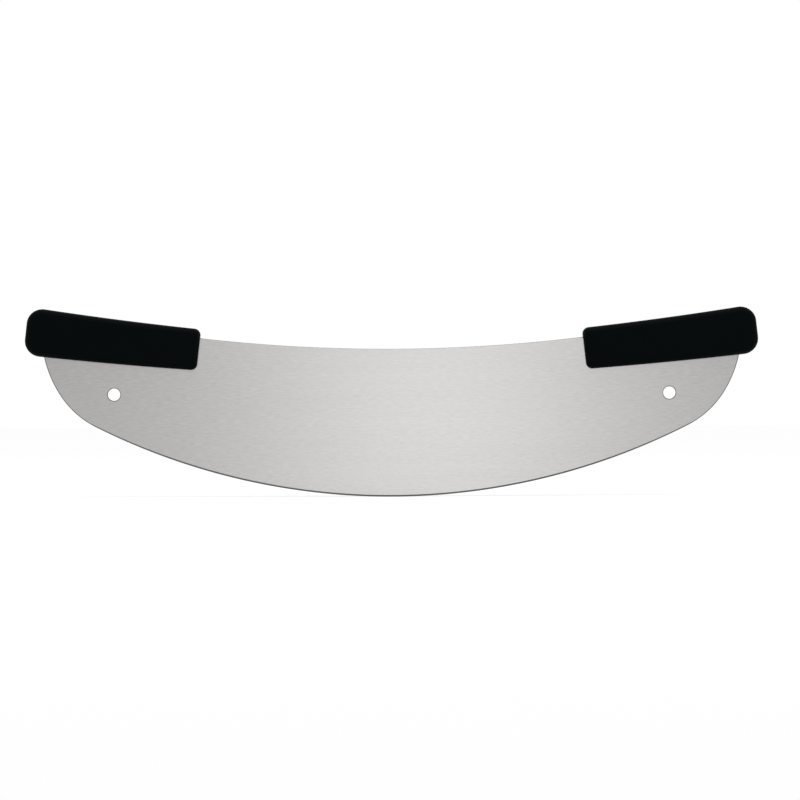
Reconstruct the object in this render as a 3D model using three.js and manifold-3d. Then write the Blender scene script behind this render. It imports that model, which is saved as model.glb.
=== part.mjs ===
// Two-handled rocker pizza knife: one long stainless blade with a moulded handle on each end.
//
// Millimetres. +X runs along the blade, +Z is up with the cutting edge down, and the front face looks
// towards -Y. The origin lies midway between the two hang holes, on the blade's mid-plane.
//
// The blade is a stamped sheet whose outline is drawn in arcs that run smoothly into each other: the edge,
// a corner and a flatter end on each side, and the hollow spine. Its edge is ground from both faces, and
// its two tangs run up inside the handles. Each handle is moulded round its tang and locked there by plugs
// of plastic through the tang's anchor holes. Both handles are the same moulding, one of them turned round.

import * as THREE from 'three';
import { mergeVertices, toCreasedNormals } from 'three/addons/utils/BufferGeometryUtils.js';
import Module from 'manifold-3d';

// Whole knife
const OVERALL_LENGTH = 559; // over the outer ends of the handles
const FIT_GAP = 0.3; // left between a handle and the tang inside it

// Blade
const BLADE_THICKNESS = 1.6;
const BLADE_DEPTH = 112.7; // from the spine down to the edge, at mid-length
const SPINE_RADIUS = 1230; // the spine is hollow: its centre lies above
const END_RADIUS = 87.6; // each end, widest on the handle's axis
const END_CORNER_RADIUS = 70; // where an end turns into the edge
const END_CORNER_START = THREE.MathUtils.degToRad(33); // round the end's arc, down from its widest point
const END_COVER = 12.6; // plastic between the tang's end and the handle's outer end
const TANG_CORNER_RADIUS = 10;

// Ground edge
const GRIND_WIDTH = 1.3; // each bevel, from the edge up the face
const GRIND_STOCK = 0.3; // taken off the stamped outline along the edge
const EDGE_LAND = 0.2; // blunt width that is left at the edge

// Hang holes, one below each handle
const HANG_HOLE_DIAMETER = 9.5;
const HANG_HOLE_INSET = 67.8; // from the knife's end in to the hole's centre
const HANG_HOLE_DROP = 34.1; // from the level of the spine's mid-point down to the hole's centre

// Anchor holes through each tang
const ANCHOR_COUNT = 3;
const ANCHOR_DIAMETER = 8;
const ANCHOR_MARGIN = 27; // from the tang's ends to the first and last hole's centre

// Handle
const HANDLE_LENGTH = 132.6;
const HANDLE_TILT = THREE.MathUtils.degToRad(6.4); // the outer end is the higher one
const HANDLE_THICKNESS = 20;
const HANDLE_INNER_DEPTH = 31.6;
const HANDLE_OUTER_DEPTH = 36.9;
const HANDLE_RISE = 6.8; // the handle's top above the spine, at its inner end
const HANDLE_ROUND_INSET = 4.5; // of the rounded edges, in from the outline
const HANDLE_ROUND_DROP = 7.5; // and back from each face
const HANDLE_INNER_CORNER = 5;
const HANDLE_OUTER_CORNER = 12;
const HANDLE_TOP_HOLLOW = 0.65; // sag of the long top edge
const HANDLE_UNDER_BELLY = 0.5; // swell of the long lower edge

// How finely round forms are cut
const BLADE_ARC_DIVISIONS = 16;
const HANDLE_ARC_DIVISIONS = 5;
const ROUND_STEPS = 5;
const EDGE_FACETS = 480; // round the full circle that the edge is part of
const CREASE_ANGLE = THREE.MathUtils.degToRad(25); // faces that meet more sharply show an edge
const FILLET_LIMIT = 0.9; // most of a wall that a round cut from it may take

const wasm = await Module();
wasm.setup();

// A closed geometry as a solid for joining and cutting.
function toSolid(geometry) {
  const bare = geometry.clone();
  bare.deleteAttribute('normal');
  bare.deleteAttribute('uv');
  const merged = mergeVertices(bare);
  const index = merged.getIndex().array;
  const triangles = [];
  for (let i = 0; i < index.length; i += 3) {
    const [a, b, c] = [index[i], index[i + 1], index[i + 2]];
    if (a !== b && b !== c && c !== a) triangles.push(a, b, c);
  }
  const mesh = new wasm.Mesh({
    numProp: 3,
    vertProperties: new Float32Array(merged.getAttribute('position').array),
    triVerts: new Uint32Array(triangles),
  });
  return new wasm.Manifold(mesh);
}

// A solid back as a geometry, smooth over its rounds and crisp at its edges.
function toGeometry(solid) {
  const mesh = solid.getMesh();
  const geometry = new THREE.BufferGeometry();
  geometry.setAttribute('position', new THREE.BufferAttribute(mesh.vertProperties, 3));
  geometry.setIndex(new THREE.BufferAttribute(mesh.triVerts, 1));
  return toCreasedNormals(geometry, CREASE_ANGLE);
}

// Extrudes a shape drawn in the X-Z plane to a thickness along Y, centred on Y = 0.
// Its edges may be rounded, by an inset from the outline and a drop from the faces. A swell grows the
// outline, and its faces, by a gap.
function extrudeAcross(shape, { thickness, divisions, inset = 0, drop = 0, swell = 0 }) {
  const depth = thickness - 2 * drop;
  const geometry = new THREE.ExtrudeGeometry(shape, {
    depth,
    curveSegments: divisions,
    bevelEnabled: inset + swell > 0,
    bevelThickness: drop + swell,
    bevelSize: inset + swell,
    bevelOffset: -inset,
    bevelSegments: inset > 0 ? ROUND_STEPS : 1,
  });
  geometry.translate(0, 0, -depth / 2);
  return geometry.rotateX(Math.PI / 2);
}

// Where a corner between two straight sides is rounded: the arc's centre, ends and angles.
function cornerArc(before, corner, after, radius) {
  const toBefore = before.clone().sub(corner).normalize();
  const toAfter = after.clone().sub(corner).normalize();
  const halfAngle = Math.acos(toBefore.dot(toAfter)) / 2;
  const bisector = toBefore.clone().add(toAfter).normalize();
  const reach = radius / Math.tan(halfAngle);
  const centre = corner.clone().addScaledVector(bisector, radius / Math.sin(halfAngle));
  const start = corner.clone().addScaledVector(toBefore, reach);
  const end = corner.clone().addScaledVector(toAfter, reach);
  return {
    centre,
    radius,
    start,
    end,
    startAngle: start.clone().sub(centre).angle(),
    endAngle: end.clone().sub(centre).angle(),
  };
}

// An outline of rounded corners, counter-clockwise. The side that leads to a corner may bow outwards.
function roundedOutline(corners) {
  const count = corners.length;
  const arcs = corners.map(({ point, radius }, i) =>
    cornerArc(corners[(i + count - 1) % count].point, point, corners[(i + 1) % count].point, radius),
  );
  const shape = new THREE.Shape();
  const last = arcs[count - 1];
  shape.moveTo(last.end.x, last.end.y);
  arcs.forEach((arc, i) => {
    const from = arcs[(i + count - 1) % count].end;
    const side = arc.start.clone().sub(from);
    const outward = new THREE.Vector2(side.y, -side.x).normalize();
    const control = from.clone().lerp(arc.start, 0.5).addScaledVector(outward, 2 * corners[i].bow);
    if (corners[i].bow === 0) shape.lineTo(arc.start.x, arc.start.y);
    else shape.quadraticCurveTo(control.x, control.y, arc.start.x, arc.start.y);
    shape.absarc(arc.centre.x, arc.centre.y, arc.radius, arc.startAngle, arc.endAngle, false);
  });
  return shape;
}

// Layout, with z = 0 at the spine's mid-point until the last step lifts the knife to its hang holes.
const spineHeight = (x) => SPINE_RADIUS - Math.sqrt(SPINE_RADIUS ** 2 - x ** 2);
const innerHalfDepth = HANDLE_INNER_DEPTH / 2;
const outerHalfDepth = HANDLE_OUTER_DEPTH / 2;
const handleTaper = Math.atan((outerHalfDepth - innerHalfDepth) / HANDLE_LENGTH);
const handleReach =
  (HANDLE_LENGTH - HANDLE_OUTER_CORNER) * Math.cos(HANDLE_TILT) +
  (outerHalfDepth - HANDLE_OUTER_CORNER) * Math.sin(HANDLE_TILT) +
  HANDLE_OUTER_CORNER;

// The handle's own frame starts at the middle of its inner end, with its length along its own x.
const handleX = OVERALL_LENGTH / 2 - handleReach;
const spineEndX = handleX - innerHalfDepth * Math.sin(HANDLE_TILT);
const spineEndZ = spineHeight(spineEndX);
const handleZ = spineEndZ + HANDLE_RISE - innerHalfDepth * Math.cos(HANDLE_TILT);

function fromHandle(along, up) {
  return new THREE.Vector2(
    handleX + along * Math.cos(HANDLE_TILT) - up * Math.sin(HANDLE_TILT),
    handleZ + along * Math.sin(HANDLE_TILT) + up * Math.cos(HANDLE_TILT),
  );
}

// Each end is widest on the handle's axis and runs into a corner of smaller radius. The ground edge's
// radius follows from passing through the lowest point and touching both corners.
const bladeHalf = OVERALL_LENGTH / 2 - END_COVER;
const endTop = handleZ + (bladeHalf - handleX) * Math.tan(HANDLE_TILT);
const endRise = endTop + BLADE_DEPTH;
const endRadius = Math.min(END_RADIUS, FILLET_LIMIT * endRise);
const endCentreX = bladeHalf - endRadius;
const cornerRadius = Math.min(END_CORNER_RADIUS, FILLET_LIMIT * endRadius);
const cornerX = endCentreX + (endRadius - cornerRadius) * Math.cos(END_CORNER_START);
const cornerZ = endTop - (endRadius - cornerRadius) * Math.sin(END_CORNER_START);
const cornerRise = cornerZ + BLADE_DEPTH;
const edgeRadius =
  (cornerX ** 2 + cornerRise ** 2 - cornerRadius ** 2) / (2 * (cornerRise - cornerRadius));
const edgeCentreZ = edgeRadius - BLADE_DEPTH;
const edgeSpan = Math.asin(cornerX / (edgeRadius - cornerRadius));

// The tang's top runs on from the spine, parallel to the handle's top, to a rounded corner.
const tangTopZ = spineEndZ + (bladeHalf - spineEndX) * Math.tan(HANDLE_TILT + handleTaper);
const tangCorner = cornerArc(
  new THREE.Vector2(bladeHalf, endTop),
  new THREE.Vector2(bladeHalf, tangTopZ),
  new THREE.Vector2(spineEndX, spineEndZ),
  Math.min(TANG_CORNER_RADIUS, FILLET_LIMIT * (tangTopZ - endTop)),
);

// The holes. The anchor holes are spread along the tang, at the middle of the depth that the handle covers.
const hangHole = new THREE.Vector2(OVERALL_LENGTH / 2 - HANG_HOLE_INSET, -HANG_HOLE_DROP);
const tangLength = (bladeHalf - handleX) / Math.cos(HANDLE_TILT);
const anchorPitch = (tangLength - 2 * ANCHOR_MARGIN) / (ANCHOR_COUNT - 1);
const anchorHoles = Array.from({ length: ANCHOR_COUNT }, (_, i) =>
  fromHandle(ANCHOR_MARGIN + i * anchorPitch, -HANDLE_RISE / 2),
);

function addRoundHole(shape, x, z, diameter) {
  const hole = new THREE.Path();
  hole.absarc(x, z, diameter / 2, 0, 2 * Math.PI, true);
  shape.holes.push(hole);
}

// The stamped outline. Along the edge it stands proud by the stock that grinding takes off.
function bladeOutline() {
  const shape = new THREE.Shape();
  const down = -Math.PI / 2;
  const { centre, radius, startAngle, endAngle } = tangCorner;
  const spineAngle = Math.asin(spineEndX / SPINE_RADIUS);
  shape.absarc(0, edgeCentreZ, edgeRadius + GRIND_STOCK, down - edgeSpan, down + edgeSpan, false);
  shape.absarc(cornerX, cornerZ, cornerRadius, down + edgeSpan, -END_CORNER_START, false);
  shape.absarc(endCentreX, endTop, endRadius, -END_CORNER_START, 0, false);
  shape.absarc(centre.x, centre.y, radius, startAngle, endAngle, false);
  shape.absarc(0, SPINE_RADIUS, SPINE_RADIUS, down + spineAngle, down - spineAngle, true);
  shape.absarc(-centre.x, centre.y, radius, Math.PI - endAngle, Math.PI - startAngle, false);
  shape.absarc(-endCentreX, endTop, endRadius, Math.PI, Math.PI + END_CORNER_START, false);
  shape.absarc(-cornerX, cornerZ, cornerRadius, Math.PI + END_CORNER_START, Math.PI * 1.5 - edgeSpan, false);
  for (const side of [-1, 1]) {
    addRoundHole(shape, side * hangHole.x, hangHole.y, HANG_HOLE_DIAMETER);
    for (const anchor of anchorHoles) addRoundHole(shape, side * anchor.x, anchor.y, ANCHOR_DIAMETER);
  }
  return shape;
}

// What the grinding leaves: a lens of two flat cones that meet at the edge, turned about the edge's axis.
function groundLens() {
  const slope = GRIND_WIDTH / ((BLADE_THICKNESS - EDGE_LAND) / 2);
  const halfHeight = 2 * BLADE_THICKNESS; // well clear of the sheet's faces
  const shoulder = edgeRadius - slope * (halfHeight - EDGE_LAND / 2);
  const profile = [
    new THREE.Vector2(0, -halfHeight),
    new THREE.Vector2(shoulder, -halfHeight),
    new THREE.Vector2(edgeRadius, -EDGE_LAND / 2),
    new THREE.Vector2(edgeRadius, EDGE_LAND / 2),
    new THREE.Vector2(shoulder, halfHeight),
    new THREE.Vector2(0, halfHeight),
  ];
  return new THREE.LatheGeometry(profile, EDGE_FACETS).translate(0, 0, edgeCentreZ);
}

function bladeGeometry() {
  const blank = extrudeAcross(bladeOutline(), {
    thickness: BLADE_THICKNESS,
    divisions: BLADE_ARC_DIVISIONS,
  });
  return toGeometry(toSolid(blank).intersect(toSolid(groundLens())));
}

function handleOutline() {
  const at = (x, y) => new THREE.Vector2(x, y);
  const inner = HANDLE_INNER_CORNER;
  const outer = HANDLE_OUTER_CORNER;
  return roundedOutline([
    { point: at(0, -innerHalfDepth), radius: inner, bow: 0 },
    { point: at(HANDLE_LENGTH, -outerHalfDepth), radius: outer, bow: HANDLE_UNDER_BELLY },
    { point: at(HANDLE_LENGTH, outerHalfDepth), radius: outer, bow: 0 },
    { point: at(0, innerHalfDepth), radius: inner, bow: -HANDLE_TOP_HOLLOW },
  ]);
}

// The moulding, in the handle's own frame, less the room that the tang takes. The anchor holes are
// holes in that room too, so the plugs through them stay.
function handleGeometry(placement) {
  const sharpest = Math.min(HANDLE_INNER_CORNER, HANDLE_OUTER_CORNER);
  const body = extrudeAcross(handleOutline(), {
    thickness: HANDLE_THICKNESS,
    divisions: HANDLE_ARC_DIVISIONS,
    inset: Math.min(HANDLE_ROUND_INSET, FILLET_LIMIT * sharpest),
    drop: Math.min(HANDLE_ROUND_DROP, (FILLET_LIMIT * HANDLE_THICKNESS) / 2),
  });
  const room = extrudeAcross(bladeOutline(), {
    thickness: BLADE_THICKNESS,
    divisions: BLADE_ARC_DIVISIONS,
    swell: FIT_GAP,
  });
  room.applyMatrix4(placement.clone().invert());
  return toGeometry(toSolid(body).subtract(toSolid(room)));
}

const stainless = new THREE.MeshStandardMaterial({ color: 0xc9c8c5, roughness: 0.35, metalness: 1 });
const blackPlastic = new THREE.MeshStandardMaterial({ color: 0x111415, roughness: 0.55, metalness: 0 });

const blade = new THREE.Mesh(bladeGeometry(), stainless);
blade.name = 'blade';

const rightHandle = new THREE.Mesh(undefined, blackPlastic);
rightHandle.name = 'right_handle';
rightHandle.position.set(handleX, 0, handleZ);
rightHandle.rotation.y = -HANDLE_TILT;
rightHandle.updateMatrix();
rightHandle.geometry = handleGeometry(rightHandle.matrix);

const leftHandle = rightHandle.clone();
leftHandle.name = 'left_handle';
leftHandle.material = blackPlastic.clone();
const leftEnd = new THREE.Group();
leftEnd.rotation.z = Math.PI;
leftEnd.add(leftHandle);

const assembly = new THREE.Group();
assembly.position.z = -hangHole.y;
assembly.add(blade, leftEnd, rightHandle);

const knife = new THREE.Group();
knife.name = 'rocker_pizza_knife';
knife.add(assembly);

export default knife;
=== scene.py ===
"""Two-handled rocker pizza knife: finished surfaces, materials, floor, light and camera.

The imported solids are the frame. The blade and both handles are drawn again here on the sizes that the
solids have, with fine arcs, a ground bevel that runs out towards the ends, broken edges and moulded
rounds, and each stands in its solid's place.

Metres. +X runs along the blade to the right, +Y from the front face to the back and +Z up, with the
cutting edge down. The origin lies midway between the two hang holes, on the blade's mid-plane.
"""

import math
from types import SimpleNamespace

import bpy
import numpy as np
from bpy.props import FloatProperty, FloatVectorProperty, IntProperty, PointerProperty
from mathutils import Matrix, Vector
from mathutils.geometry import delaunay_2d_cdt


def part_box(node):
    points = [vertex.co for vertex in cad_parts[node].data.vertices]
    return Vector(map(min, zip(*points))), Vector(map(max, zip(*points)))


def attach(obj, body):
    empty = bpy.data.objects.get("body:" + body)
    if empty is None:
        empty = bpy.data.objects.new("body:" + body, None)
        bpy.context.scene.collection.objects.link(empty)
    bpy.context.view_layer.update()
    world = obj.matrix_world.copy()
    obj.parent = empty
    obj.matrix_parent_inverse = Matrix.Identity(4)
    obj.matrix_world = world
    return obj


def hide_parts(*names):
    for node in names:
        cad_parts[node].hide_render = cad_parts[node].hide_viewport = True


bl_info = {
    "name": "Rocker Pizza Knife",
    "version": (1, 0, 0),
    "blender": (4, 5, 0),
    "location": "3D View > Sidebar > Knife",
    "description": "Builds a two-handled rocker pizza knife with its materials, floor, light and camera",
    "category": "Add Mesh",
}

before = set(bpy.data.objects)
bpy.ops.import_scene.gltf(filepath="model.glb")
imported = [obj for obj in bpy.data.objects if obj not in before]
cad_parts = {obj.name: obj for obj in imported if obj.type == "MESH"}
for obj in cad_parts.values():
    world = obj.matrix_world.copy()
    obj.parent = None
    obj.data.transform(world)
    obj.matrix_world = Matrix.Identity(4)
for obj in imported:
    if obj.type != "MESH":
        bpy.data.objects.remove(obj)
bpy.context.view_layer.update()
BLADE_LOW, BLADE_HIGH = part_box("blade")
HANDLE_LOW, HANDLE_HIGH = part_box("right_handle")

MM = 0.001
DOWN = -math.pi / 2  # the angle of a circle's lowest point in the X-Z plane
CREASE = math.radians(50)  # walls that meet more sharply show an edge
FINE_STEP = 0.8 * MM  # between the points of a tight arc or a handle's outline
COARSE_STEP = 1.5 * MM  # between the points of the blade's long, nearly straight runs
HOLE_STEP = 0.3 * MM  # between the points round a hole
ROUND_RINGS = 13  # rings of points over a handle's rounded edge
NOISE_RANGE = {"From Min": 0.3, "From Max": 0.7}  # nearly all of a noise texture's values lie in it


# Settings


def linear(code):
    """A colour written as sRGB hex, as linear red, green and blue with full alpha: below 0.04045 a share
    is divided by 12.92, above it ((share + 0.055) / 1.055) is raised to 2.4."""
    share = np.array([int(code[i:i + 2], 16) for i in (1, 3, 5)]) / 255
    curve = np.where(share <= 0.04045, share / 12.92, ((share + 0.055) / 1.055) ** 2.4)
    return (*curve.tolist(), 1.0)


def distance(name, description, metres):
    """A length that a user may change."""
    return FloatProperty(
        name=name, description=description, default=metres, min=0.0, precision=5, unit="LENGTH"
    )


def lengths(name, description, metres):
    """Lengths along two or three axes, such as a light's size or place, that a user may change."""
    return FloatVectorProperty(
        name=name, description=description, default=metres, size=len(metres), precision=3, unit="LENGTH"
    )


def colour(name, description, code):
    """A colour that a user may change, given as sRGB hex."""
    return FloatVectorProperty(
        name=name, description=description, default=linear(code), size=4, min=0.0, max=1.0, subtype="COLOR"
    )


class BladeSettings(bpy.types.PropertyGroup):
    """The stamped and ground stainless sheet."""

    half_length: distance("Half Length", "From the middle to each end of the sheet", BLADE_HIGH.x)
    thickness: distance("Thickness", "Thickness of the sheet", BLADE_HIGH.y - BLADE_LOW.y)
    edge_low: FloatProperty(
        name="Edge", description="Height of the edge's lowest point", default=BLADE_LOW.z, unit="LENGTH"
    )
    spine_low: distance("Spine", "Height of the spine's mid-point above the hang holes", 34.1 * MM)
    spine_radius: distance("Spine Radius", "Radius of the hollow spine", 1230 * MM)
    end_radius: distance("End Radius", "Radius of each end, widest on the handle's axis", 87.6 * MM)
    end_corner: distance("End Corner", "Radius where an end turns into the edge", 70 * MM)
    end_corner_start: FloatProperty(
        name="End Corner Start",
        description="Where the corner starts, round the end's arc from its widest point",
        default=math.radians(33),
        unit="ROTATION",
    )
    tang_corner: distance("Tang Corner", "Radius of the tang's upper corner", 10 * MM)
    grind_width: distance("Grind Width", "Width of each ground bevel", 1.3 * MM)
    grind_lift: distance("Grind Lift", "How much narrower the bevel gets towards the ends", 0.5 * MM)
    edge_land: distance("Edge Land", "Blunt width left at the edge", 0.2 * MM)
    spine_break: distance("Spine Break", "Rounding of the spine's corners by the belt", 0.2 * MM)
    end_break: distance("End Break", "Rounding of the ends' corners by hand filing", 0.6 * MM)
    hang_hole: distance("Hang Hole", "Diameter of each hang hole", 9.5 * MM)
    hang_hole_x: distance("Hang Hole Place", "From the middle to a hang hole's centre", 211.7 * MM)
    anchor_hole: distance("Anchor Hole", "Diameter of the holes that lock a handle on", 8 * MM)
    anchor_margin: distance("Anchor Margin", "From the tang's ends to the nearest anchor hole", 27 * MM)
    anchors: IntProperty(name="Anchors", description="Anchor holes in each tang", default=3, min=2)
    hole_chamfer: distance("Hole Chamfer", "Width of the chamfer round each hole", 0.5 * MM)
    steel: colour("Steel", "Brushed steel, lighter strokes", "#A5A4A3")
    steel_stroke: colour("Stroke", "Brushed steel, darker strokes", "#9B9A99")
    # The ground edge's dark tone is partly painted shade, standing in for the darker reflection on the tilted
    # bevel.
    ground: colour("Ground Edge", "Freshly ground steel", "#686868")
    ground_score: colour("Grinding Score", "Scores across the ground edge", "#525253")
    # The sheared edge's dark tone is partly painted shade on the edge walls and the holes' chamfers.
    sheared: colour("Sheared Edge", "Steel where the die cut it", "#444444")


class HandleSettings(bpy.types.PropertyGroup):
    """The two mouldings."""

    reach: distance("Reach", "From the knife's middle to the outer end", HANDLE_HIGH.x)
    length: distance("Length", "Length along the handle's own axis", 132.6 * MM)
    tilt: FloatProperty(
        name="Tilt",
        description="Slope of the handle's axis, the outer end higher",
        default=math.radians(6.4),
        unit="ROTATION",
    )
    thickness: distance("Thickness", "From face to face", HANDLE_HIGH.y - HANDLE_LOW.y)
    inner_depth: distance("Inner Depth", "Depth at the inner end", 31.6 * MM)
    outer_depth: distance("Outer Depth", "Depth at the outer end", 36.9 * MM)
    rise: distance("Rise", "Height of the inner end's top above the spine", 6.8 * MM)
    round_inset: distance("Round Inset", "How far the rounded edges reach in from the outline", 4.5 * MM)
    round_drop: distance("Round Drop", "How far the rounded edges reach back from a face", 7.5 * MM)
    inner_corner: distance("Inner Corner", "Corner radius at the inner end", 5 * MM)
    outer_corner: distance("Outer Corner", "Corner radius at the outer end", 12 * MM)
    top_hollow: distance("Top Hollow", "Sag of the long top edge", 0.65 * MM)
    under_belly: distance("Under Belly", "Swell of the long lower edge", 0.5 * MM)
    parting_width: distance("Parting Width", "Width of the mould's parting line", 0.8 * MM)
    parting_height: distance("Parting Height", "Height of the mould's parting line", 0.08 * MM)
    slot_gap: distance("Slot Gap", "Room left round the tang", 0.03 * MM)
    plastic: colour("Plastic", "Moulded black plastic", "#010506")
    plastic_bloom: colour("Bloom", "Paler flow marks in the plastic", "#040809")


class StageSettings(bpy.types.PropertyGroup):
    """Floor, light and camera."""

    floor_radius: distance("Floor Radius", "Radius of the floor", 8.0)
    floor: colour("Floor", "Pale floor", "#CECECE")
    floor_glow: FloatProperty(
        name="Floor Glow", description="Strength of the glow that lifts the floor to white", default=0.52
    )
    fill_light: FloatProperty(
        name="Fill Light", description="Strength of the even light from all around", default=0.75
    )
    camera_distance: distance("Camera Distance", "From the camera to the blade", 3.0)
    view_width: distance("View Width", "Width that the picture shows at the blade", 610.1 * MM)
    aim_x: FloatProperty(
        name="Aim X", description="Where the camera aims along the blade", default=6.3 * MM, unit="LENGTH"
    )
    aim_z: FloatProperty(
        name="Aim Z", description="Height at which the camera aims", default=-4.9 * MM, unit="LENGTH"
    )
    roll: FloatProperty(
        name="Roll",
        description="Turn of the camera about its own axis",
        default=math.radians(0.22),
        unit="ROTATION",
    )
    front_place: lengths("Front Light Place", "Where the light behind the camera stands", (0.09, -6.0, 0.05))
    front_size: lengths("Front Light Size", "Width and height of the light behind the camera", (0.6, 0.22))
    front_power: FloatProperty(
        name="Front Light", description="Power of the light behind the camera", default=7.4, unit="POWER"
    )
    top_place: lengths("Top Light Place", "Where the wide light overhead hangs", (0.08, -0.45, 1.1))
    top_size: lengths("Top Light Size", "Width and depth of the wide light overhead", (1.0, 0.6))
    top_power: FloatProperty(
        name="Top Light", description="Power of the wide light overhead", default=5.5, unit="POWER"
    )


class RockerKnife(bpy.types.PropertyGroup):
    """All that can be changed on the knife and its stage."""

    blade: PointerProperty(type=BladeSettings, name="Blade", description="Sizes and colours of the blade")
    handle: PointerProperty(
        type=HandleSettings, name="Handles", description="Sizes and colours of the handles"
    )
    stage: PointerProperty(type=StageSettings, name="Stage", description="Floor, light and camera")


# Outlines in the X-Z plane, counter-clockwise as seen from the front


def arc(centre, radius, start, end, step):
    """Points of a circle's arc: centre plus radius times (cos, sin) of an angle that goes evenly from
    start to end. The last point is left out, as the next run of the outline starts there."""
    count = max(3, math.ceil(abs(end - start) * radius / step))
    angle = np.linspace(start, end, count, endpoint=False)
    return np.asarray(centre) + radius * np.stack([np.cos(angle), np.sin(angle)], axis=1)


def bow(start, end, swell, step):
    """Points of a side that bows to the right of its direction by a swell at its middle: the straight line
    plus 4 t (1 - t) swell along its normal. The last point is left out."""
    start, end = np.asarray(start), np.asarray(end)
    side = end - start
    span = np.linalg.norm(side)
    t = np.linspace(0, 1, max(2, math.ceil(span / step)), endpoint=False)[:, None]
    return start + t * side + 4 * t * (1 - t) * swell * np.array([side[1], -side[0]]) / span


def corner(before, point, after, radius):
    """A rounded corner between two straight sides. Its arc touches each side radius / tan(half the angle)
    away from the corner, and its centre is radius / sin(half the angle) away on the bisector."""
    before, point, after = (np.asarray(p, float) for p in (before, point, after))
    back = (before - point) / np.linalg.norm(before - point)
    on = (after - point) / np.linalg.norm(after - point)
    half = math.acos(back @ on) / 2
    middle = (back + on) / np.linalg.norm(back + on)
    centre = point + middle * radius / math.sin(half)
    start = point + back * radius / math.tan(half)
    end = point + on * radius / math.tan(half)
    start_angle = math.atan2(*(start - centre)[::-1])
    turn = (math.atan2(*(end - centre)[::-1]) - start_angle) % (2 * math.pi)
    return SimpleNamespace(
        centre=centre,
        radius=radius,
        start=start,
        end=end,
        start_angle=start_angle,
        end_angle=start_angle + turn,
    )


def lay_out(knife):
    """Places the handle and the blade's arcs.

    The handle's frame starts at the middle of its inner end and is turned by its tilt, so that its outer
    corner's arc just reaches the knife's end. Each blade end is an arc that is widest on the handle's
    axis. Where its corner starts, the corner's centre lies on the same radius, nearer by the difference
    of the two radii. The edge's circle passes through the lowest point and touches both corners
    from outside: with a corner's centre x to the side and h above that point, and its radius r, the
    edge's radius is (x x + h h - r r) / (2 (h - r)).
    """
    blade, handle = knife.blade, knife.handle
    inner, outer = handle.inner_depth / 2, handle.outer_depth / 2
    cos, sin = math.cos(handle.tilt), math.sin(handle.tilt)
    round_outer = handle.outer_corner
    reach = (handle.length - round_outer) * cos + (outer - round_outer) * sin + round_outer
    spine_centre = blade.spine_low + blade.spine_radius

    at = SimpleNamespace()
    at.handle_x = handle.reach - reach
    at.spine_end_x = at.handle_x - inner * sin
    at.spine_end_z = spine_centre - math.sqrt(blade.spine_radius ** 2 - at.spine_end_x ** 2)
    at.handle_z = at.spine_end_z + handle.rise - inner * cos
    at.spine_centre = (0.0, spine_centre)

    at.end_top = at.handle_z + (blade.half_length - at.handle_x) * math.tan(handle.tilt)
    at.end_x = blade.half_length - blade.end_radius
    start, radius = blade.end_corner_start, blade.end_corner
    corner_x = at.end_x + (blade.end_radius - radius) * math.cos(start)
    corner_z = at.end_top - (blade.end_radius - radius) * math.sin(start)
    at.corner_centre = (corner_x, corner_z)
    rise = corner_z - blade.edge_low
    at.edge_radius = (corner_x ** 2 + rise ** 2 - radius ** 2) / (2 * (rise - radius))
    at.edge_centre = (0.0, blade.edge_low + at.edge_radius)
    at.edge_span = math.asin(corner_x / (at.edge_radius - radius))
    at.edge_end_x = at.edge_radius * math.sin(at.edge_span)

    taper = math.atan((outer - inner) / handle.length)
    tang_top = at.spine_end_z + (blade.half_length - at.spine_end_x) * math.tan(handle.tilt + taper)
    at.tang_corner = corner(
        (blade.half_length, at.end_top),
        (blade.half_length, tang_top),
        (at.spine_end_x, at.spine_end_z),
        blade.tang_corner,
    )
    at.tang_length = (blade.half_length - at.handle_x) / cos
    return at


def from_handle(knife, at, points):
    """Points in the handle's own frame, turned by its tilt and moved to the inner end's middle."""
    cos, sin = math.cos(knife.handle.tilt), math.sin(knife.handle.tilt)
    return np.asarray(points) @ np.array([[cos, sin], [-sin, cos]]) + (at.handle_x, at.handle_z)


def blade_outline(knife, at):
    """The blade's outline. The right half runs from the lowest point along the edge, round the corner and
    the end, up the tang, over its corner and back down the spine to the middle, and the left half is its
    mirror image."""
    blade = knife.blade
    corner_angle, end_angle = DOWN + at.edge_span, -blade.end_corner_start
    spine_angle = math.asin(at.spine_end_x / blade.spine_radius)
    tang = at.tang_corner
    right = np.concatenate([
        arc(at.edge_centre, at.edge_radius, DOWN, corner_angle, COARSE_STEP),
        arc(at.corner_centre, blade.end_corner, corner_angle, end_angle, FINE_STEP),
        arc((at.end_x, at.end_top), blade.end_radius, end_angle, 0, FINE_STEP),
        bow((blade.half_length, at.end_top), tang.start, 0, COARSE_STEP),
        arc(tang.centre, tang.radius, tang.start_angle, tang.end_angle, FINE_STEP),
        bow(tang.end, (at.spine_end_x, at.spine_end_z), 0, COARSE_STEP),
        arc(at.spine_centre, blade.spine_radius, DOWN + spine_angle, DOWN, COARSE_STEP),
    ])
    left = right[:0:-1] * (-1, 1)
    return np.concatenate([right, [(0, blade.spine_low)], left])


def round_hole(centre, diameter):
    """A hole's outline: a circle taken clockwise, so that its inner side is the metal round it."""
    return arc(centre, diameter / 2, 2 * math.pi, 0, HOLE_STEP)


def hang_holes(knife):
    """The outlines of the two hang holes, which lie level with the origin."""
    blade = knife.blade
    return [round_hole((side * blade.hang_hole_x, 0), blade.hang_hole) for side in (-1, 1)]


def anchor_holes(knife, at):
    """The outlines of the anchor holes, spread evenly along each tang at the middle of its depth."""
    blade, handle = knife.blade, knife.handle
    along = np.linspace(blade.anchor_margin, at.tang_length - blade.anchor_margin, blade.anchors)
    centres = from_handle(knife, at, np.stack([along, np.full_like(along, -handle.rise / 2)], axis=1))
    return [round_hole((side * x, z), blade.anchor_hole) for side in (-1, 1) for x, z in centres]


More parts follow.
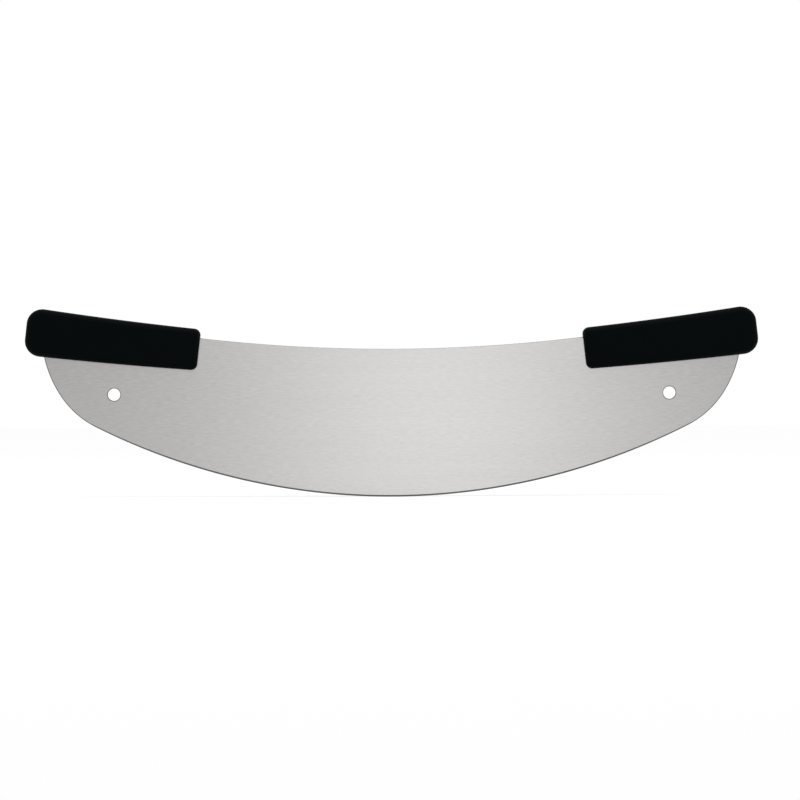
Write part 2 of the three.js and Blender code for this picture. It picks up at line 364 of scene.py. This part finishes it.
def handle_outline(knife, at):
    """The handle's outline: four rounded corners with straight ends, a lower side that swells and an upper
    side that sags, each as a flat bow."""
    handle = knife.handle
    inner, outer, length = handle.inner_depth / 2, handle.outer_depth / 2, handle.length
    points = [(0, -inner), (length, -outer), (length, outer), (0, inner)]
    radii = [handle.inner_corner, handle.outer_corner, handle.outer_corner, handle.inner_corner]
    swells = [0, handle.under_belly, 0, -handle.top_hollow]
    rounds = [corner(points[i - 1], points[i], points[(i + 1) % 4], radii[i]) for i in range(4)]
    runs = []
    for i, turn in enumerate(rounds):
        runs.append(bow(rounds[i - 1].end, turn.start, swells[i], FINE_STEP))
        runs.append(arc(turn.centre, turn.radius, turn.start_angle, turn.end_angle, FINE_STEP))
    return from_handle(knife, at, np.concatenate(runs))


# Surfaces


def inward(loop):
    """Unit normals of a loop towards its left, which is the inner side of a counter-clockwise loop: the
    chord between a point's two neighbours, turned left by a quarter."""
    chord = np.roll(loop, -1, axis=0) - np.roll(loop, 1, axis=0)
    normal = np.stack([-chord[:, 1], chord[:, 0]], axis=1)
    return normal / np.linalg.norm(normal, axis=1, keepdims=True)


def closed_rings(rings, count):
    """The numbers of the points of closed rings, ring by ring, and the quads between neighbouring rings."""
    here = np.arange(rings * count).reshape(rings, count)
    on = np.roll(here, -1, axis=1)
    return here, np.stack([here[:-1], here[1:], on[1:], on[:-1]], axis=-1)


def carry(loop, insets, heights):
    """Carries a profile round a loop. Ring j holds the loop's points moved inwards by insets[j], at
    y = heights[j], from front to back."""
    insets = np.broadcast_to(insets, (len(insets), len(loop)))
    points = np.empty((*insets.shape, 3))
    points[..., 0::2] = loop + insets[..., None] * inward(loop)
    points[..., 1] = heights
    return points


def fill(loops):
    """Triangles of the flat region inside the first loop and outside the others, as numbers of the loops'
    points taken in order. It is the Delaunay triangulation that keeps every edge of the loops."""
    points = np.concatenate(loops)
    ends = np.cumsum([len(loop) for loop in loops])
    rings = [list(range(end - len(loop), end)) for loop, end in zip(loops, ends)]
    inside_with_holes, merge_distance = 2, 1e-7
    _, _, faces, sources, _, _ = delaunay_2d_cdt(
        points.tolist(), [], rings, inside_with_holes, merge_distance
    )
    source = np.array([numbers[0] for numbers in sources])
    return source[np.array(faces)]


def plate(loops, profiles):
    """A closed plate: each loop carries its profile (insets and heights), and the flats are filled between
    the loops' first rings at the front and, turned over, their last rings at the back. Gives the points,
    the quads of each loop's wall and the triangles of both flats."""
    points, walls, front, back, rims = [], [], [], [], []
    start = 0
    for loop, (insets, heights) in zip(loops, profiles):
        rings = carry(loop, insets, heights)
        numbers, quads = closed_rings(*rings.shape[:2])
        points.append(rings.reshape(-1, 3))
        walls.append(start + quads)
        front.append(start + numbers[0])
        back.append(start + numbers[-1])
        rims.append(rings[0][:, 0::2])
        start += numbers.size
    triangles = fill(rims)
    flats = np.concatenate([np.concatenate(front)[triangles], np.concatenate(back)[triangles[:, ::-1]]])
    return np.concatenate(points), walls, flats


def mesh_from(name, points, walls, flats, finishes=None):
    """A mesh of the walls' quads, shaded smooth, and the flats' triangles, shaded flat. The finishes give
    each wall's quads their material numbers, and the flats have number 0."""
    quads = np.concatenate([wall.reshape(-1, 4) for wall in walls])
    mesh = bpy.data.meshes.new(name)
    mesh.from_pydata(points.tolist(), [], quads.tolist() + flats.tolist())
    mesh.set_sharp_from_angle(angle=CREASE)  # comes first, as it clears the faces' shading
    mesh.polygons.foreach_set("use_smooth", np.arange(len(quads) + len(flats)) < len(quads))
    if finishes is not None:
        numbers = np.concatenate([*(f.reshape(-1) for f in finishes), np.zeros(len(flats), int)])
        mesh.polygons.foreach_set("material_index", numbers.astype(np.int32))
    mesh.validate()
    return mesh


def show(name, mesh):
    """Links a mesh into the scene as an object at the origin."""
    piece = bpy.data.objects.new(name, mesh)
    bpy.context.scene.collection.objects.link(piece)
    return piece


# Materials


def add_node(tree, kind, inputs=None, **settings):
    """Adds a node with its settings. An input, named by its identifier, is linked to a socket or set."""
    made = tree.nodes.new(kind)
    for name, value in settings.items():
        setattr(made, name, value)
    for name, value in (inputs or {}).items():
        socket = next(s for s in made.inputs if s.identifier == name)
        if isinstance(value, bpy.types.NodeSocket):
            tree.links.new(value, socket)
        else:
            socket.default_value = value
    return made


def per_metre(*sizes):
    """A pattern's scale along each axis: how often each size in millimetres goes into a metre."""
    return tuple(1 / (size * MM) for size in sizes)


def new_material(name):
    """An empty node material and its tree."""
    material = bpy.data.materials.new(name)
    material.use_nodes = True
    material.node_tree.nodes.clear()
    return material, material.node_tree


def brushed_stainless_steel(blade):
    """Stainless sheet brushed lengthwise by a belt. The scores spread light up and down more than to the
    sides, so a light shows as an upright soft band, with fine strokes along the blade.

    The belt's scores are about 0.1 mm wide. They are drawn 0.9 mm wide and 6 mm long, as finer ones
    would not show in the render. The belt's passes differ a little in gloss, in bands about 9 mm wide."""
    material, tree = new_material("brushed_stainless_steel")
    place = add_node(tree, "ShaderNodeTexCoord").outputs["Object"]
    along_strokes = add_node(tree, "ShaderNodeMapping", {"Vector": place, "Scale": per_metre(6, 0.9, 0.9)})
    strokes = add_node(tree, "ShaderNodeTexNoise", {
        "Vector": along_strokes.outputs[0],
        "Scale": 1.0, "Detail": 3.0, "Roughness": 0.6,
    }).outputs["Fac"]
    along_passes = add_node(tree, "ShaderNodeMapping", {"Vector": place, "Scale": per_metre(240, 9, 9)})
    passes = add_node(tree, "ShaderNodeTexNoise", {
        "Vector": along_passes.outputs[0],
        "Scale": 1.0, "Detail": 2.0, "Roughness": 0.5,
    }).outputs["Fac"]
    tone = add_node(tree, "ShaderNodeMix", {
        "Factor_Float": add_node(tree, "ShaderNodeMapRange", {"Value": strokes, **NOISE_RANGE}).outputs[0],
        "A_Color": tuple(blade.steel_stroke), "B_Color": tuple(blade.steel),
    }, data_type="RGBA").outputs[2]
    gloss = add_node(tree, "ShaderNodeMath", {
        "Value": add_node(tree, "ShaderNodeMapRange", {
            "Value": strokes, **NOISE_RANGE, "To Min": 0.26, "To Max": 0.27,
        }).outputs[0],
        "Value_001": add_node(tree, "ShaderNodeMapRange", {
            "Value": passes, **NOISE_RANGE, "To Min": -0.003, "To Max": 0.003,
        }).outputs[0],
    }, operation="ADD").outputs[0]
    relief = add_node(tree, "ShaderNodeBump", {"Height": strokes, "Strength": 0.025, "Distance": 0.05 * MM})
    across = add_node(tree, "ShaderNodeVectorTransform", {
        "Vector": (0, 0, 1),
    }, vector_type="VECTOR", convert_from="OBJECT", convert_to="WORLD")
    shader = add_node(tree, "ShaderNodeBsdfPrincipled", {
        "Base Color": tone, "Metallic": 1.0, "Roughness": gloss,
        "Anisotropic": 0.6, "Tangent": across.outputs[0], "Normal": relief.outputs[0],
    })
    add_node(tree, "ShaderNodeOutputMaterial", {"Surface": shader.outputs[0]})
    return material


def ground_edge_steel_painted_shade(blade):
    """Stainless steel ground across the edge on a coarse wheel and not polished: duller than the brushed
    face, with scores across the edge about 0.2 mm apart, drawn 0.8 mm apart to show.
    Its dark tone is partly painted shade: it stands in for the darker reflection that the bevel shows, so
    that the edge reads as a dark line."""
    material, tree = new_material("ground_edge_steel_painted_shade")
    place = add_node(tree, "ShaderNodeTexCoord").outputs["Object"]
    along_scores = add_node(tree, "ShaderNodeMapping", {"Vector": place, "Scale": per_metre(0.8, 4, 8)})
    scores = add_node(tree, "ShaderNodeTexNoise", {
        "Vector": along_scores.outputs[0],
        "Scale": 1.0, "Detail": 3.0, "Roughness": 0.6,
    }).outputs["Fac"]
    tone = add_node(tree, "ShaderNodeMix", {
        "Factor_Float": scores,
        "A_Color": tuple(blade.ground_score), "B_Color": tuple(blade.ground),
    }, data_type="RGBA").outputs[2]
    gloss = add_node(tree, "ShaderNodeMapRange", {"Value": scores, "To Min": 0.38, "To Max": 0.54}).outputs[0]
    relief = add_node(tree, "ShaderNodeBump", {"Height": scores, "Strength": 0.25, "Distance": 0.05 * MM})
    shader = add_node(tree, "ShaderNodeBsdfPrincipled", {
        "Base Color": tone, "Metallic": 1.0, "Roughness": gloss, "Normal": relief.outputs[0],
    })
    add_node(tree, "ShaderNodeOutputMaterial", {"Surface": shader.outputs[0]})
    return material


def sheared_edge_steel_painted_shade(blade):
    """Stainless steel as the die sheared it and the belt broke its corners: a dull wall with a rough break.
    Its dark grey tone is partly painted shade, standing in for the darker reflections on the edge walls and
    the chamfers round the holes. The tearing is about 0.1 mm coarse, drawn at 0.7 mm to show."""
    material, tree = new_material("sheared_edge_steel_painted_shade")
    place = add_node(tree, "ShaderNodeTexCoord").outputs["Object"]
    tearing = add_node(tree, "ShaderNodeTexNoise", {
        "Vector": place, "Scale": 1 / (0.7 * MM), "Detail": 3.0, "Roughness": 0.6,
    }).outputs["Fac"]
    tone = add_node(tree, "ShaderNodeMix", {
        "Factor_Float": tearing,
        "A_Color": tuple(blade.ground), "B_Color": tuple(blade.sheared),
    }, data_type="RGBA").outputs[2]
    gloss = add_node(tree, "ShaderNodeMapRange", {"Value": tearing, "To Min": 0.4, "To Max": 0.6}).outputs[0]
    relief = add_node(tree, "ShaderNodeBump", {"Height": tearing, "Strength": 0.2, "Distance": 0.05 * MM})
    shader = add_node(tree, "ShaderNodeBsdfPrincipled", {
        "Base Color": tone, "Metallic": 1.0, "Roughness": gloss, "Normal": relief.outputs[0],
    })
    add_node(tree, "ShaderNodeOutputMaterial", {"Surface": shader.outputs[0]})
    return material


def moulded_black_polypropylene(handle):
    """Black polypropylene moulded in a spark-eroded tool: an even fine grain that scatters what gloss there
    is, so the faces stay deep black and only the rounds show a soft light.

    The grain is about 0.2 mm, drawn at 0.9 mm to show. Faint paler flow marks, about 28 mm wide, run
    through the plastic. The specular level is low, because reflections meet white on all sides here and
    would veil the black."""
    material, tree = new_material("moulded_black_polypropylene")
    place = add_node(tree, "ShaderNodeTexCoord").outputs["Object"]
    grain = add_node(tree, "ShaderNodeTexNoise", {
        "Vector": place, "Scale": 1 / (0.9 * MM), "Detail": 2.0, "Roughness": 0.5,
    }).outputs["Fac"]
    flow = add_node(tree, "ShaderNodeTexNoise", {
        "Vector": place, "Scale": 1 / (28 * MM), "Detail": 3.0, "Roughness": 0.55, "Distortion": 0.6,
    }).outputs["Fac"]
    tone = add_node(tree, "ShaderNodeMix", {
        "Factor_Float": flow,
        "A_Color": tuple(handle.plastic), "B_Color": tuple(handle.plastic_bloom),
    }, data_type="RGBA").outputs[2]
    gloss = add_node(tree, "ShaderNodeMath", {
        "Value": add_node(tree, "ShaderNodeMapRange", {
            "Value": grain, "To Min": 0.62, "To Max": 0.74,
        }).outputs[0],
        "Value_001": add_node(tree, "ShaderNodeMapRange", {
            "Value": flow, "To Min": -0.04, "To Max": 0.04,
        }).outputs[0],
    }, operation="ADD").outputs[0]
    relief = add_node(tree, "ShaderNodeBump", {"Height": grain, "Strength": 0.12, "Distance": 0.06 * MM})
    shader = add_node(tree, "ShaderNodeBsdfPrincipled", {
        "Base Color": tone, "Metallic": 0.0, "Roughness": gloss, "IOR": 1.49, "Specular IOR Level": 0.03,
        "Normal": relief.outputs[0],
    })
    add_node(tree, "ShaderNodeOutputMaterial", {"Surface": shader.outputs[0]})
    return material


def seen_directly(tree):
    """1 for camera, glossy and transmission rays and 0 for others, so that metal shows the backdrop too."""
    path = add_node(tree, "ShaderNodeLightPath").outputs
    mirrored = add_node(tree, "ShaderNodeMath", {
        "Value": path["Is Glossy Ray"], "Value_001": path["Is Transmission Ray"],
    }, operation="MAXIMUM").outputs[0]
    return add_node(tree, "ShaderNodeMath", {
        "Value": path["Is Camera Ray"], "Value_001": mirrored,
    }, operation="MAXIMUM").outputs[0]


def white_paper(stage):
    """A sweep of matt white paper. It takes the knife's shadow, and a glow that only the camera and
    reflections see lifts it to white."""
    material, tree = new_material("white_paper")
    matt = add_node(tree, "ShaderNodeBsdfDiffuse", {"Color": tuple(stage.floor)})
    lift = add_node(tree, "ShaderNodeMath", {
        "Value": seen_directly(tree), "Value_001": stage.floor_glow,
    }, operation="MULTIPLY").outputs[0]
    glow = add_node(tree, "ShaderNodeEmission", {"Strength": lift})
    both = add_node(tree, "ShaderNodeAddShader", {"Shader": matt.outputs[0], "Shader_001": glow.outputs[0]})
    add_node(tree, "ShaderNodeOutputMaterial", {"Surface": both.outputs[0]})
    material.cycles.emission_sampling = "NONE"  # the glow lights nothing
    return material


# Pieces


def ground_profile(blade, at, outline):
    """The profile round the blade's outline, front to back, for each of its points.

    Inside the edge's circle by a depth d, grinding leaves a bevel of the grind's width less d, and a
    wall that is the land plus d's share of the slope. The wheel is lifted towards the ends, which adds
    to d by the fourth power of the share of the way there. Elsewhere the sheet keeps its thickness and
    its corners are only broken."""
    half = blade.thickness / 2
    inside = at.edge_radius - np.linalg.norm(outline - at.edge_centre, axis=1)
    depth = np.maximum(inside, 0) + blade.grind_lift * (outline[:, 0] / at.edge_end_x) ** 4
    bevel = np.maximum(blade.grind_width - depth, 0)
    land = blade.edge_land / 2
    broken = np.where(np.abs(outline[:, 0]) > at.spine_end_x, blade.end_break, blade.spine_break)
    wall = np.minimum(land + depth * (half - land) / blade.grind_width, half - broken)
    lip = np.maximum(bevel, broken)
    # Halfway along the corner: on a straight bevel that is its middle, on a broken corner it bulges.
    bulge = np.where(bevel > broken, 0.5, 1 - math.sqrt(0.5))
    insets = np.stack([lip, lip * bulge, np.zeros_like(lip)])
    heights = np.stack([np.full_like(wall, half), half - (half - wall) * bulge, wall])
    return (np.concatenate([insets, insets[::-1]]), np.concatenate([-heights, heights[::-1]])), bevel > 0


def hole_profile(blade):
    """The profile round a hole, front to back: a chamfer, the wall and a chamfer."""
    half, chamfer = blade.thickness / 2, blade.hole_chamfer
    insets = np.array([chamfer, 0, 0, chamfer])[:, None]
    heights = np.array([-half, chamfer - half, half - chamfer, half])[:, None]
    return insets, heights


def build_blade(knife):
    """The blade: one sheet with a ground edge, broken corners, two hang holes and the anchor holes."""
    blade = knife.blade
    at = lay_out(knife)
    outline = blade_outline(knife, at)
    profile, is_ground = ground_profile(blade, at, outline)
    holes = hang_holes(knife) + anchor_holes(knife, at)
    points, walls, flats = plate([outline, *holes], [profile] + [hole_profile(blade)] * len(holes))
    # The rim and the bores get the darker steels, whose tone is partly painted shade.
    ground, sheared = 1, 2
    rim = np.broadcast_to(np.where(is_ground, ground, sheared), walls[0].shape[:2])
    bores = [np.full(wall.shape[:2], sheared) for wall in walls[1:]]
    mesh = mesh_from("blade_sheet", points, walls, flats, [rim, *bores])
    for material in (brushed_stainless_steel(blade), ground_edge_steel_painted_shade(blade), sheared_edge_steel_painted_shade(blade)):
        mesh.materials.append(material)
    piece = show("blade_sheet", mesh)
    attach(piece, "root")
    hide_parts("blade")


def rounded_profile(handle):
    """The profile round a handle, front to back: a narrow flat border, a quarter of an ellipse, the wall
    with the mould's parting line along its middle, and the same to the back. At an angle t the ellipse
    is inset from the wall by its inset times (1 - sin t) and dropped by its drop times (1 - cos t). The
    wall lies inside the outline by the parting line's height, so the line's crest is on the outline."""
    half, inset, drop = handle.thickness / 2, handle.round_inset, handle.round_drop
    turn = np.linspace(0, math.pi / 2, ROUND_RINGS)
    border = 0.3 * MM
    wall = handle.parting_height
    foot = handle.parting_width / 2
    beside, crest = 3 * foot, foot / 2
    insets = np.concatenate([[inset + border], inset * (1 - np.sin(turn)), [0, 0, -wall]]) + wall
    heights = np.concatenate([[half], half - drop * (1 - np.cos(turn)), [beside, foot, crest]])
    return np.concatenate([insets, insets[::-1]])[:, None], np.concatenate([-heights, heights[::-1]])[:, None]


def tang_cutter(knife, at):
    """What is taken out of a handle: the blade's sheet grown by the slot's gap. Its anchor holes are
    smaller by the gap, so the plugs through them stay."""
    gap = knife.handle.slot_gap
    loops = [blade_outline(knife, at), *anchor_holes(knife, at)]
    level = knife.blade.thickness / 2 + gap
    profile = (np.full((2, 1), -gap), np.array([[-level], [level]]))
    points, walls, flats = plate(loops, [profile] * len(loops))
    return show("tang_cutter", mesh_from("tang_cutter", points, walls, flats))


def build_handles(knife):
    """Both handles: one moulding, slotted for its tang, and the same turned half round the upright axis."""
    at = lay_out(knife)
    points, walls, flats = plate([handle_outline(knife, at)], [rounded_profile(knife.handle)])
    plastic = moulded_black_polypropylene(knife.handle)
    cutter = tang_cutter(knife, at)
    for name, side in (("right_handle", 1), ("left_handle", -1)):
        piece = show(name + "_grip", mesh_from(name + "_grip", points * (side, side, 1), walls, flats))
        cut = piece.modifiers.new("slot", "BOOLEAN")
        cut.object = cutter
        cut.operation = "DIFFERENCE"
        cut.solver = "EXACT"
        solved = piece.evaluated_get(bpy.context.evaluated_depsgraph_get())
        mesh = bpy.data.meshes.new_from_object(solved)
        piece.modifiers.clear()
        piece.data = mesh
        mesh.materials.clear()
        mesh.materials.append(plastic)
        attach(piece, "root")
        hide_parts(name)
    bpy.data.objects.remove(cutter)


# Stage


def floor_disc(radius, level):
    """A flat disc on a grid of radii and angles: (r cos a, r sin a, level). The radii go by the square, so
    the rings lie wider apart outwards, and one face fills the innermost ring."""
    rings, spokes, innermost = 24, 96, 0.02
    radii = radius * np.linspace(innermost, 1, rings) ** 2
    angles = np.linspace(0, 2 * math.pi, spokes, endpoint=False)
    r, a = np.meshgrid(radii, angles, indexing="ij")
    points = np.stack([r * np.cos(a), r * np.sin(a), np.full_like(r, level)], axis=-1)
    numbers, quads = closed_rings(rings, spokes)
    faces = quads.reshape(-1, 4).tolist() + [numbers[0].tolist()]
    mesh = bpy.data.meshes.new("floor")
    mesh.from_pydata(points.reshape(-1, 3).tolist(), [], faces)
    return mesh


def softbox(name, place, size, power):
    """A soft rectangular light aimed at the origin. The camera does not see it, reflections do."""
    light = bpy.data.lights.new(name, "AREA")
    light.shape = "RECTANGLE"
    light.size, light.size_y = size
    light.energy = power
    box = bpy.data.objects.new(name, light)
    box.location = place
    box.rotation_euler = (-Vector(place)).to_track_quat("-Z", "Y").to_euler()
    box.visible_camera = False
    bpy.context.scene.collection.objects.link(box)


def build_stage(knife):
    """Floor, world, lights and camera.

    The light behind the camera gives the brushed blade its soft upright band, and the overhead one the
    handles' top rounds their sheen."""
    stage = knife.stage
    scene = bpy.context.scene
    scene.view_settings.view_transform = "Standard"

    floor = show("floor", floor_disc(stage.floor_radius, BLADE_LOW.z))
    floor.data.materials.append(white_paper(stage))

    world = bpy.data.worlds.new("studio")
    world.use_nodes = True
    tree = world.node_tree
    tree.nodes.clear()
    level = add_node(tree, "ShaderNodeMapRange", {
        "Value": seen_directly(tree), "To Min": stage.fill_light, "To Max": 1.0,
    })
    sky = add_node(tree, "ShaderNodeBackground", {"Color": (1, 1, 1, 1), "Strength": level.outputs[0]})
    add_node(tree, "ShaderNodeOutputWorld", {"Surface": sky.outputs[0]})
    world.cycles.sampling_method = "NONE"
    scene.world = world

    softbox("front_light", stage.front_place, stage.front_size, stage.front_power)
    softbox("top_light", stage.top_place, stage.top_size, stage.top_power)

    lens = bpy.data.cameras.new("camera")
    lens.lens = lens.sensor_width * stage.camera_distance / stage.view_width
    camera = bpy.data.objects.new("camera", lens)
    camera.location = (stage.aim_x, -stage.camera_distance, stage.aim_z)
    camera.rotation_euler = (math.pi / 2, stage.roll, 0)
    scene.collection.objects.link(camera)
    scene.camera = camera


# Operators, panel and registration


class ROCKER_KNIFE_OT_blade(bpy.types.Operator):
    """Build the blade in place of its solid"""

    bl_idname = "rocker_knife.blade"
    bl_label = "Build Blade"

    def execute(self, context):
        build_blade(context.scene.rocker_knife)
        return {"FINISHED"}


class ROCKER_KNIFE_OT_handles(bpy.types.Operator):
    """Build both handles in place of their solids"""

    bl_idname = "rocker_knife.handles"
    bl_label = "Build Handles"

    def execute(self, context):
        build_handles(context.scene.rocker_knife)
        return {"FINISHED"}


class ROCKER_KNIFE_OT_stage(bpy.types.Operator):
    """Build the floor, light and camera"""

    bl_idname = "rocker_knife.stage"
    bl_label = "Build Stage"

    def execute(self, context):
        build_stage(context.scene.rocker_knife)
        return {"FINISHED"}


OPERATORS = (ROCKER_KNIFE_OT_blade, ROCKER_KNIFE_OT_handles, ROCKER_KNIFE_OT_stage)


class ROCKER_KNIFE_PT_panel(bpy.types.Panel):
    """The knife's settings and the buttons that build it"""

    bl_idname = "ROCKER_KNIFE_PT_panel"
    bl_label = "Rocker Pizza Knife"
    bl_space_type = "VIEW_3D"
    bl_region_type = "UI"
    bl_category = "Knife"

    def draw(self, context):
        knife = context.scene.rocker_knife
        for operator, group in zip(OPERATORS, (knife.blade, knife.handle, knife.stage)):
            box = self.layout.box()
            for name in group.__annotations__:
                box.prop(group, name)
            box.operator(operator.bl_idname)


CLASSES = (BladeSettings, HandleSettings, StageSettings, RockerKnife, *OPERATORS, ROCKER_KNIFE_PT_panel)


def register():
    for cls in CLASSES:
        bpy.utils.register_class(cls)
    bpy.types.Scene.rocker_knife = PointerProperty(type=RockerKnife)


def unregister():
    del bpy.types.Scene.rocker_knife
    for cls in reversed(CLASSES):
        bpy.utils.unregister_class(cls)


def main():
    register()
    bpy.ops.rocker_knife.blade()
    bpy.ops.rocker_knife.handles()
    bpy.ops.rocker_knife.stage()


if __name__ == "__main__":
    main()
